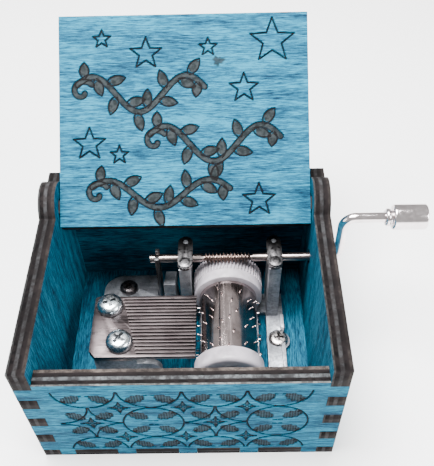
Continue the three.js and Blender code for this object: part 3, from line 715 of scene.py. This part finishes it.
def front_wall():
    notches = tab_ranges(END_TABS)
    notch_ends = [end for notch in notches for end in notch]
    us = grid_lines([-OUTER_X, OUTER_X, -INNER_X + SEAM, INNER_X - SEAM, *notch_ends], GRID_STEP)
    stops = [0, FRONT_HEIGHT, BASE_TOP + SEAM]
    for low, high in FINGERS:
        stops.extend([low + SEAM, high - SEAM])
    vs = grid_lines(stops, GRID_STEP)

    def inside(u, v):
        centre = np.abs(u) < INNER_X - SEAM
        fingers = np.zeros(u.shape, bool)
        for low, high in FINGERS:
            fingers |= (v > low + SEAM) & (v < high - SEAM)
        tabs = np.zeros(u.shape, bool)
        for low, high in notches:
            tabs |= (u > low) & (u < high) & (v < BASE_TOP + SEAM)
        return (centre | fingers) & ~tabs

    matrix = plane_matrix((0, -OUTER_Y, 0), (1, 0, 0), (0, 0, 1))
    piece = engraved_board("front_wall", us, vs, inside, draw_vines, PLY, matrix)
    face = stained_veneer("front_veneer", "x", (0.13, 0.4, 0.2), engraved=True)
    edge = burnt_edge("front_edge", "y", -OUTER_Y, PLY)
    # The inner face's stain, darkened to 0.4, is painted shade inside the box.
    inner = stained_veneer("front_inner_painted_shade_veneer", "x", (0.3, 0.9, 0.5), painted_light_level=0.4)
    dress_panel(piece, face, edge, (0, -1, 0), inner, facing=0.2)
    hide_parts("front_panel")


def steps(ranges, line, reach, inset=0.0, turned=False):
    """Outline points that step from a line out to reach over each range, which is drawn in at both
    ends by inset. turned swaps the two axes."""
    points = []
    for low, high in ranges:
        a, b = low + inset, high - inset
        points += [(a, line), (a, reach), (b, reach), (b, line)]
    return [point[::-1] for point in points] if turned else points


def side_outline():
    """A side wall's outline in Y and Z, anticlockwise from its lower front corner."""
    rise = math.degrees(math.asin((SIDE_HEIGHT - HINGE[2]) / EAR_R))
    ear = arc((HINGE[1], HINGE[2]), EAR_R, rise, 180 - rise, 48)
    front = steps(FINGERS, -OUTER_Y, -INNER_Y - SEAM, turned=True)
    return [(-OUTER_Y, 0), *steps(tab_ranges(SIDE_TABS), 0, BASE_TOP + SEAM), (OUTER_Y, 0),
            *steps(FINGERS, OUTER_Y, INNER_Y + SEAM, turned=True), (OUTER_Y, SIDE_HEIGHT),
            *ear, (-OUTER_Y, SIDE_HEIGHT), *reversed(front)]


def side_walls():
    face = stained_veneer("side_veneer", "y", (0.7, 0.1, 0.5))
    # The inner faces' stain, darkened to 0.75, is painted shade inside the box.
    inner = stained_veneer("side_inner_painted_shade_veneer", "z", (0.2, 0.3, 0.9), painted_light_level=0.75)
    for side, node in ((-1, "left_side_panel"), (1, "right_side_panel")):
        holes = [arc((HINGE[1], HINGE[2]), PIN_HOLE_R, 0, 360, 48)[:-1]]
        if side > 0:
            holes.append(arc((SHAFT_Y, SHAFT_Z), CRANK_HOLE_R, 0, 360, 40)[:-1])
        middle = side * (OUTER_X - PLY / 2)
        matrix = plane_matrix((middle, 0, 0), (0, 1, 0), (0, 0, 1))
        name = node.replace("panel", "wall")
        piece = sheet_panel(name, side_outline(), holes, matrix, PLY)
        start = -OUTER_X if side < 0 else INNER_X
        edge = burnt_edge(name + "_edge", "x", start, PLY, 0.25)
        dress_panel(piece, face, edge, (side, 0, 0), inner)
        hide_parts(node)


def rear_outline():
    side = INNER_X - SEAM
    left = steps(FINGERS, -side, -OUTER_X, SEAM, turned=True)
    return [(-side, 0), *steps(tab_ranges(END_TABS), 0, BASE_TOP + SEAM), (side, 0),
            *steps(FINGERS, side, OUTER_X, SEAM, turned=True), (side, SIDE_HEIGHT),
            (-side, SIDE_HEIGHT), *reversed(left)]


def rear_wall():
    matrix = plane_matrix((0, OUTER_Y - PLY / 2, 0), (1, 0, 0), (0, 0, 1))
    piece = sheet_panel("rear_wall", rear_outline(), [], matrix, PLY)
    face = stained_veneer("rear_veneer", "x", (0.9, 0.6, 0.1))
    # The inner face's stain, darkened to 0.6, is painted shade inside the box.
    inner = stained_veneer("rear_inner_painted_shade_veneer", "x", (0.4, 0.1, 0.6), painted_light_level=0.6)
    dress_panel(piece, face, burnt_edge("rear_edge", "y", INNER_Y, PLY, 0.5), (0, 1, 0), inner)
    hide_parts("rear_panel")


def base_outline():
    x, y = INNER_X - SEAM, INNER_Y - SEAM
    ends, sides = tab_ranges(END_TABS), tab_ranges(SIDE_TABS)
    rear = steps(ends, y, OUTER_Y, SEAM)
    left = steps(sides, -x, -OUTER_X, SEAM, turned=True)
    return [*steps(ends, -y, -OUTER_Y, SEAM), (x, -y), *steps(sides, x, OUTER_X, SEAM, turned=True),
            (x, y), *reversed(rear), (-x, y), *reversed(left), (-x, -y)]


def base():
    matrix = plane_matrix((0, 0, BASE_TOP / 2), (1, 0, 0), (0, 1, 0))
    piece = sheet_panel("base_board", base_outline(), [], matrix, BASE_TOP)
    # The base's stain, darkened to 0.75, is painted shade inside the box.
    face = stained_veneer("base_painted_shade_veneer", "y", (0.33, 0.8, 0.4), painted_light_level=0.75)
    dress_panel(piece, face, burnt_edge("base_edge", "z", 0, BASE_TOP, 0.25), (0, 0, 1))
    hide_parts("base_panel")


# -------- the lid

# Stars: place from the lid's left and from its free edge as shares of its size, and outer radius
STARS = [(0.173, 0.112, 2.1), (0.350, 0.184, 3.7), (0.600, 0.158, 2.1), (0.858, 0.133, 5.2),
         (0.742, 0.355, 3.4), (0.120, 0.610, 3.8), (0.240, 0.663, 2.15), (0.796, 0.885, 3.8)]
# Sprigs: left, right, height of the middle and size of the swing, as shares of the lid
SPRIGS = [(0.075, 0.585, 0.375, 0.085), (0.365, 0.885, 0.615, 0.085), (0.130, 0.680, 0.850, 0.065)]
KNOT = (0.640, 0.225, 1.5)


def sprig(drawing, left, right, middle, swing):
    """A leafy sprig: a waved stem that starts in a curl, with leaves on alternate sides."""
    t = np.linspace(0, 1, 60)
    x = left + (right - left) * t
    y = middle + swing * np.sin(2 * math.pi * 1.35 * t + 0.6)
    drawing.ribbon(list(zip(x, y)), 0.6)
    curl = []
    for k in range(26):
        a = math.pi * 0.2 + k * 0.2
        r = 2.7 * (1 - k / 34)
        curl.append((left + 1.0 + r * math.cos(a), y[0] - 1.6 + r * math.sin(a)))
    drawing.ribbon(curl, 0.55)
    count = 12
    for k in range(count):
        place = (k + 0.8) / (count + 0.4)
        i = int(place * 59)
        slope = math.atan2(y[min(i + 1, 59)] - y[i - 1], x[min(i + 1, 59)] - x[i - 1])
        side = 1 if k % 2 == 0 else -1
        angle = slope + side * math.radians(58)
        reach = 2.2 if 0 < k < count - 1 else 1.8
        tip = [(x[i] + math.cos(angle) * s, y[i] + math.sin(angle) * s) for s in (0.2, reach)]
        leaf_outline(drawing, tip[0], math.degrees(angle), 2 * reach, 2.1)


def leaf_outline(drawing, foot, degrees, length, width):
    """A charred leaf with a dark outline, growing from its foot."""
    a = math.radians(degrees)
    spine = [(foot[0] + math.cos(a) * length * s, foot[1] + math.sin(a) * length * s)
             for s in np.linspace(0.25, 0.8, 8)]
    for k, point in enumerate(spine[:-1]):
        swell = math.sin(math.pi * (k + 0.9) / 8.2)
        half = max(0.2, width / 2 * swell)
        where = drawing.window([point, spine[k + 1]], width)
        d = drawing.distance(where, [point, spine[k + 1]])
        inside = np.clip((half - d) / 0.12, 0, 1)
        drawing.char[where] = np.maximum(drawing.char[where], inside)
        drawing.depth[where] = np.maximum(drawing.depth[where], inside * 0.2)
    side = []
    for sign in (1, -1):
        edge = []
        for s in np.linspace(0.05, 1, 14):
            swell = width / 2 * math.sin(math.pi * min(1.0, s * 1.02)) ** 0.75 if 0 < s < 0.98 else 0
            edge.append((foot[0] + math.cos(a) * length * s - sign * math.sin(a) * swell,
                         foot[1] + math.sin(a) * length * s + sign * math.cos(a) * swell))
        side.append(edge)
    for edge in side:
        drawing.line(edge, 0.2, 0.25)


def draw_lid(drawing):
    width, length = 2 * LID_HALF, LID_TAIL + LID_REACH

    def at(share_u, share_v):
        return -LID_HALF + share_u * width, LID_REACH - share_v * length

    for u, v, radius in STARS:
        drawing.star(at(u, v), radius)
    for left, right, middle, swing in SPRIGS:
        sprig(drawing, at(left, 0)[0], at(right, 0)[0], at(0, middle)[1], swing * length)
    u, v = at(KNOT[0], KNOT[1])
    du, dv = drawing.u - u, drawing.v - v
    angle = np.arctan2(dv, du)
    edge = KNOT[2] * (1 + 0.18 * np.sin(3 * angle + 1) + 0.12 * np.sin(7 * angle))
    spot = np.clip((edge - np.hypot(du, dv * 1.25)) / 0.5, 0, 1)
    drawing.char[...] = np.maximum(drawing.char, spot * 0.85)
    drawing.burn[...] = np.maximum(drawing.burn, spot * 0.25)


def lid():
    us = grid_lines([-LID_HALF, LID_HALF], GRID_STEP)
    vs = grid_lines([-LID_TAIL, LID_REACH], GRID_STEP)
    flat = Matrix.Translation((0, 0, PLY / 2 * MM))
    board = engraved_board("lid_board", us, vs, lambda u, v: np.ones(u.shape, bool), draw_lid, PLY, flat)
    face = stained_veneer("lid_veneer", "x", (0.5, 0.2, 0.7), engraved=True)
    edge = burnt_edge("lid_edge", "z", -PLY / 2, PLY, 0.5)
    hinge = Matrix.Translation(Vector(HINGE) * MM) @ Matrix.Rotation(LID_ANGLE, 4, "X")
    board.data.materials.append(face)
    board.data.materials.append(edge)
    for polygon in board.data.polygons:
        polygon.material_index = 0 if abs(polygon.normal.z) > 0.2 else 1
    board.matrix_world = hinge
    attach(board, "lid")
    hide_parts("lid")
    for side, name in ((-1, "lid_pin_left"), (1, "lid_pin_right")):
        a, b = sorted((side * (LID_HALF + 0.02), side * (OUTER_X - 0.1)))
        h, w = PLY / 2, PIN_WIDTH / 2
        corners = [(x, y, z) for x in (a, b) for y in (-w, w) for z in (-h, h)]
        faces = [(0, 1, 3, 2), (4, 6, 7, 5), (0, 4, 5, 1), (2, 3, 7, 6), (0, 2, 6, 4), (1, 5, 7, 3)]
        pin = bevelled(mesh(name, corners, faces), 0.12)
        smooth_by_angle(pin)
        pin.matrix_world = hinge
        dress(pin, edge, "lid")


# -------- screws and rivets

def blade(centre, top, reach, width, depth, angle):
    """A tapered blade that cuts one arm of a cross recess down from the top of a head."""
    points = []
    for x, y, z in ((reach, width, top + 0.6), (reach * 0.4, width * 0.75, top - depth)):
        for sx, sy in ((-1, -1), (1, -1), (1, 1), (-1, 1)):
            px, py = sx * x, sy * y
            points.append((centre[0] + px * math.cos(angle) - py * math.sin(angle),
                           centre[1] + px * math.sin(angle) + py * math.cos(angle), z))
    return mesh("blade", points, [(0, 1, 2, 3), (7, 6, 5, 4), (0, 4, 5, 1), (1, 5, 6, 2), (2, 6, 7, 3),
                                  (3, 7, 4, 0)])


def screw(node, material, degrees, painted_recess_shade, dome=0.5):
    low, high = low_high(node)
    x, y = (low[0] + high[0]) / 2, (low[1] + high[1]) / 2
    head = (high[1] - low[1]) / 2
    height, shank = (2.2, 1.4) if head > 2.8 else (1.5, 1.0)
    seat = high[2] - height
    profile = [(low[2], 0), (low[2], shank * 0.6), (low[2] + 0.4, shank), (seat, shank), (seat, head - 0.08),
               (seat + 0.08, head)]
    steps = 12
    rim = seat + height * (1 - dome) * 0.6
    for k in range(steps + 1):
        a = math.pi / 2 * k / steps
        profile.append((rim + (high[2] - rim) * math.sin(a), head * math.cos(a) ** 0.55 if k < steps else 0))
    piece = lathe(node + "_turned", profile, "z", (x, y, 0), 64)
    for angle in (math.radians(degrees), math.radians(degrees + 90)):
        cutter = blade((x, y), high[2], head * 0.64, head * 0.14, height * 0.6, angle)
        modifier = piece.modifiers.new("recess", "BOOLEAN")
        modifier.object = cutter
        modifier.operation = "DIFFERENCE"
        modifier.solver = "EXACT"
        applied(piece)
        bpy.data.objects.remove(cutter)
    smooth_by_angle(piece, 35)
    dress(piece, material, "case")
    # The faces down in the cross recess get a darker metal: painted shade.
    piece.data.materials.append(painted_recess_shade)
    for face in piece.data.polygons:
        centre = face.center / MM
        out = math.hypot(centre.x - x, centre.y - y)
        crown = rim + (high[2] - rim) * math.sqrt(max(0.0, 1 - (out / head) ** 3.6))
        if out < head * 0.68 and crown - centre.z > 0.12 and high[2] - centre.z < height:
            face.material_index = 1
    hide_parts(node)


def rivet(node, material):
    low, high = low_high(node)
    x, y = (low[0] + high[0]) / 2, (low[1] + high[1]) / 2
    seat = high[2] - 0.5
    r = (high[1] - low[1]) / 2
    profile = [(low[2], 0), (low[2], 0.6), (seat, 0.6), (seat, r), (seat + 0.18, r), (seat + 0.3, r - 0.1),
               (seat + 0.3, r - 0.45), (seat + 0.42, r - 0.6), (seat + 0.5, r * 0.45), (seat + 0.46, 0)]
    piece = lathe(node + "_turned", profile, "z", (x, y, 0), 48)
    dress(piece, material, "case")
    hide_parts(node)


# -------- cylinder, wheel and worm

TEETH = 18
PINS_PER_TRACK = 4
PIN_LENGTH = 0.7
CYLINDER_R = 6.85
CYLINDER_WALL = 0.65
SEAM_ANGLE = math.radians(-17.5)     # of the cylinder's seam, from straight up towards +X
WORM_PITCH = 0.83
WHEEL_TEETH = 60
SPIGOT_LENGTH, SPIGOT_R = 2.8, 6.14     # what the wheel and the end cap hold the cylinder by
ARBOR_BORE = 0.9


def about_cylinder(angle, radius, y):
    """A point about the cylinder's axis, at an angle from straight up towards +X."""
    return (CYLINDER_X + radius * math.sin(angle), y, CYLINDER_Z + radius * math.cos(angle))


def cylinder(material, seam_material):
    front, back = low_high("cylinder")[0][1], low_high("cylinder")[1][1]
    sides = 480

    def seam(distance, angle, radius):
        off = math.remainder(angle - SEAM_ANGLE, 2 * math.pi)
        return radius - 0.2 * math.exp(-(off * radius / 0.12) ** 2) if radius > CYLINDER_R - 0.3 else radius

    inner = CYLINDER_R - CYLINDER_WALL
    profile = [(front, inner), (front, CYLINDER_R - 0.12), (front + 0.12, CYLINDER_R)]
    profile += [(front + (back - front) * k / 12, CYLINDER_R) for k in range(1, 12)]
    profile += [(back - 0.12, CYLINDER_R), (back, CYLINDER_R - 0.12), (back, inner)]
    tube = lathe("cylinder_tube", profile, "y", (CYLINDER_X, 0, CYLINDER_Z), sides, seam)
    dress(tube, material, "cylinder")
    tube.data.materials.append(seam_material)
    for face in tube.data.polygons:
        centre = face.center / MM
        angle = math.atan2(centre.x - CYLINDER_X, centre.z - CYLINDER_Z)
        if abs(angle - SEAM_ANGLE) * CYLINDER_R < 0.13:
            face.material_index = 1
    comb_front, comb_rear = low_high("comb")[0][1], low_high("comb")[1][1]
    pitch = (comb_rear - comb_front) / TEETH
    golden = math.pi * (3 - math.sqrt(5))
    points, faces = [], []
    for track in range(TEETH):
        y = comb_front + (track + 0.5) * pitch
        for k in range(PINS_PER_TRACK):
            angle = track * golden + k * 2 * math.pi / PINS_PER_TRACK + 0.35 * math.sin(3 * track + 5 * k)
            add_pin(points, faces, angle, y)
    pins = mesh("cylinder_pins", points, faces)
    smooth_by_angle(pins, 50)
    dress(pins, material, "cylinder")
    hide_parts("cylinder")


def add_pin(points, faces, angle, y):
    out = Vector(about_cylinder(angle, 1, 0)) - Vector(about_cylinder(angle, 0, 0))
    along = Vector((0, 1, 0))
    foot = Vector((CYLINDER_X, y, CYLINDER_Z))
    outline = [(-0.15, 0.24), (0.35, 0.2), (0.6, 0.16), (PIN_LENGTH, 0.08)]
    skin(points, faces, [ring(foot + out * (CYLINDER_R + height), out.cross(along), along, r, 10)
                         for height, r in outline])


def worm_wheel(material):
    low, high = low_high("worm_wheel")
    back = high[1]
    front = low[1] + SPIGOT_LENGTH
    collar_end = front + 2.5
    tip, root, collar = 8.2, 7.62, 8.05
    step = 2 * math.pi / WHEEL_TEETH
    pitch_r = WHEEL_TEETH * WORM_PITCH / (2 * math.pi)
    sides = WHEEL_TEETH * 12

    def tooth(distance, angle, radius):
        if distance < collar_end + 0.05 or radius < root:
            return radius
        twist = (distance - SHAFT_Y) * WORM_PITCH / (2 * math.pi * pitch_r)
        phase = (angle - twist) / step
        off = abs(phase - round(phase))
        return radius - (tip - root) * min(1.0, max(0.0, (off - 0.13) / 0.17))

    profile = [(low[1], ARBOR_BORE), (low[1], SPIGOT_R - 0.14), (low[1] + 0.2, SPIGOT_R),
               (front, SPIGOT_R), (front, collar - 0.35), (front + 0.1, collar - 0.12),
               (front + 0.35, collar), (collar_end, collar)]
    profile += [(collar_end + 0.1 + (back - collar_end - 0.35) * k / 8, tip) for k in range(9)]
    profile += [(back - 0.1, tip - 0.15), (back, root - 0.3), (back, ARBOR_BORE)]
    piece = lathe("worm_wheel_moulding", profile, "y", (CYLINDER_X, 0, CYLINDER_Z), sides, tooth)
    dress(piece, material, "cylinder")
    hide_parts("worm_wheel")


def end_cap(material):
    low, high = low_high("cylinder_end_cap")
    r = (high[2] - low[2]) / 2
    front, back = low[1], high[1] - SPIGOT_LENGTH
    profile = [(front + 0.45, ARBOR_BORE), (front + 0.45, 3.6), (front + 0.42, 4.3), (front + 0.1, 5.2),
               (front, 5.6)]
    profile += [(front + 0.9 - 0.9 * math.cos(a), r - 0.9 + 0.9 * math.sin(a))
                for a in np.linspace(0, math.pi / 2, 9)]
    profile += [(back - 0.2, r), (back, r - 0.15), (back, SPIGOT_R), (high[1], SPIGOT_R),
                (high[1], ARBOR_BORE)]
    piece = lathe("end_cap_moulding", profile, "y", (CYLINDER_X, 0, CYLINDER_Z), 128)
    dress(piece, material, "cylinder")
    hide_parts("cylinder_end_cap")


def worm_shaft(material, thread_material):
    low, high = low_high("worm_shaft")
    left, right = low[0], high[0]
    shaft_r, groove_r, worm_root, worm_tip = 0.95, 0.62, 0.66, 1.2
    groove = (low_high("shaft_fork")[0][0] - 0.1, low_high("shaft_fork")[1][0] + 0.1)
    worm_left, worm_right = 3.9, 14.75

    def thread(distance, angle, radius):
        if not worm_left < distance < worm_right:
            return radius
        turn = (distance - CYLINDER_X) / WORM_PITCH - (angle + math.pi / 2) / (2 * math.pi) + 0.5
        off = abs(turn - round(turn)) * WORM_PITCH
        ends = min(1.0, (distance - worm_left) / 0.5, (worm_right - distance) / 0.5)
        return radius + (worm_tip - worm_root) * ends * min(1.0, max(0.0, (0.27 - off) / 0.19))

    shaft = [(left, 0), (left, shaft_r - 0.22), (left + 0.2, shaft_r), (groove[0], shaft_r),
             (groove[0] + 0.02, groove_r), (groove[1] - 0.02, groove_r), (groove[1], shaft_r),
             (worm_left - 0.6, shaft_r), (worm_left - 0.15, worm_root)]
    rings = int((worm_right - worm_left) / WORM_PITCH * 18)
    shaft += [(worm_left + (worm_right - worm_left) * k / rings, worm_root) for k in range(rings + 1)]
    shaft += [(worm_right + 0.15, worm_root), (worm_right + 0.6, shaft_r), (right, shaft_r), (right, 0)]
    piece = lathe("worm_shaft_turned", shaft, "x", (0, SHAFT_Y, SHAFT_Z), 48, thread)
    dress(piece, material, "crank")
    piece.data.materials.append(thread_material)
    for face in piece.data.polygons:
        if worm_left * MM < face.center.x < worm_right * MM:
            face.material_index = 1
    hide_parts("worm_shaft")


# -------- crank

ROD_R = 1.1
BEND_R = 2.6


def crank(material):
    low, high = low_high("crank_arm")
    start = low[0]
    arm_x = 34.9
    top = JOINTS["knob_spin"]["pos_m"][2] / MM
    rod_end = high[0] - 0.6
    route = [(start, SHAFT_Z)]
    route += [(arm_x - BEND_R + p[0], SHAFT_Z + BEND_R + p[1]) for p in arc((0, 0), BEND_R, -90, 0, 14)]
    route += [(arm_x + BEND_R + p[0], top - BEND_R + p[1]) for p in arc((0, 0), BEND_R, 180, 90, 14)]
    route += [(rod_end, top)]
    dense = [route[0]]
    for a, b in zip(route, route[1:]):
        count = max(1, int(math.dist(a, b) / 0.5))
        dense += [(a[0] + (b[0] - a[0]) * k / count, a[1] + (b[1] - a[1]) * k / count)
                  for k in range(1, count + 1)]
    points, faces, rings = [], [], []
    up = Vector((0, 1, 0))
    for i, (x, z) in enumerate(dense):
        before, after = dense[max(0, i - 1)], dense[min(len(dense) - 1, i + 1)]
        way = Vector((after[0] - before[0], 0, after[1] - before[1])).normalized()
        rings.append(ring(Vector((x, SHAFT_Y, z)), way.cross(up), up, ROD_R, 40))
    skin(points, faces, rings)
    rod = mesh("crank_rod", points, faces)
    face_outward(rod)
    smooth_by_angle(rod, 50)
    dress(rod, material, "crank")
    head = lathe("crank_rod_head", [(rod_end + 0.01, 0), (rod_end + 0.01, 1.55), (rod_end + 0.15, 1.7),
                                    (rod_end + 0.6, 1.5), (rod_end + 0.6, 0)], "x", (0, SHAFT_Y, top), 40)
    dress(head, material, "crank")
    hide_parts("crank_arm")


def knob(material):
    low, high = low_high("crank_knob")
    left, right = low[0], high[0]
    z = JOINTS["knob_spin"]["pos_m"][2] / MM
    r, wall, bore, neck = 2.8, 0.6, 1.18, 1.95
    profile = [(right - wall, 0), (right - wall, r - wall), (left + 2.1, r - wall), (left + 2.1, bore),
               (left, bore)]
    profile += [(left + 0.55 - 0.55 * math.cos(a), neck - 0.35 + 0.35 * math.sin(a))
                for a in np.linspace(0, math.pi, 11)]
    profile += [(left + 1.12, neck - 0.45), (left + 1.4, neck - 0.45), (left + 1.5, neck + 0.1)]
    profile += [(left + 2.0 - 0.5 * math.cos(a), r - 0.5 + 0.5 * math.sin(a))
                for a in np.linspace(0.15, math.pi / 2, 8)]
    profile += [(right - 0.45 + 0.45 * math.sin(a), r - 0.45 + 0.45 * math.cos(a))
                for a in np.linspace(0, math.pi / 2, 8)]
    profile += [(right, r - 0.9), (right - 0.05, 0)]
    piece = lathe("knob_sleeve", profile, "x", (0, SHAFT_Y, z), 96)
    dress(piece, material, "knob")
    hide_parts("crank_knob")


# -------- making everything

make_camera()
make_stage()

front_wall()
rear_wall()
side_walls()
base()
lid()

cast = metal("cast_zinc", (0.35, 0.365, 0.39), (0.21, 0.215, 0.235), 0.55, bump=0.4)
cap_steel = metal("cap_steel", (0.125, 0.122, 0.126), (0.070, 0.068, 0.071), 0.33, grime=0.4, bump=0.35)
comb_steel = metal("comb_steel", (0.072, 0.060, 0.061), (0.048, 0.039, 0.040), 0.34, brush="x")
nickel = metal("cylinder_nickel", (0.52, 0.44, 0.43), (0.38, 0.315, 0.305), 0.15, brush="y")
crank_nickel = metal("crank_nickel", (0.90, 0.83, 0.83), (0.74, 0.67, 0.67), 0.13)
zinc_plate = metal("zinc_plate", (0.74, 0.79, 0.82), (0.62, 0.69, 0.74), 0.20, tint=(0.80, 0.76, 0.68))
screw_nickel = metal("screw_nickel", (0.55, 0.51, 0.49), (0.38, 0.34, 0.33), 0.24)
dark_steel = metal("dark_steel", (0.10, 0.09, 0.09), (0.05, 0.045, 0.05), 0.30)
shaft_steel = metal("shaft_steel", (0.34, 0.285, 0.27), (0.22, 0.185, 0.175), 0.24, brush="x")
thread_steel = metal("thread_steel", (0.25, 0.175, 0.15), (0.13, 0.095, 0.085), 0.30, grime=0.5)
# A darker zinc for the insides of the comb screws' cross recesses: painted shade.
painted_shade_zinc = metal("painted_shade_zinc", (0.36, 0.37, 0.38), (0.16, 0.17, 0.18), 0.3)
plastic = white_plastic()

dress(refined("bedplate", "bedplate_casting", 0.15), cast, "case")
dress(refined("comb", "comb_plate", 0.05), comb_steel, "case")
dress(refined("left_bearing_cap", "left_strap", 0.14), cap_steel, "case")
dress(refined("right_bearing_cap", "right_strap", 0.14), cap_steel, "case")
dress(refined("shaft_fork", "fork_plate", 0.1), cap_steel, "case")
dress(refined("cylinder_arbor", "arbor_rod", 0.05), shaft_steel, "case")
rivet("left_cap_rivet", cap_steel)
rivet("right_cap_rivet", cap_steel)
screw("comb_screw_rear", zinc_plate, 20, painted_shade_zinc, 0.75)
screw("comb_screw_front", zinc_plate, 55, painted_shade_zinc, 0.75)
# dark_steel in the base screws' cross recesses is painted shade.
screw("base_screw_left", dark_steel, 50, dark_steel)
screw("base_screw_right", screw_nickel, 2, dark_steel, 0.2)
screw("base_screw_front", screw_nickel, 20, dark_steel)
cylinder(nickel, dark_steel)
worm_wheel(plastic)
end_cap(plastic)
worm_shaft(shaft_steel, thread_steel)
crank(crank_nickel)
knob(crank_nickel)
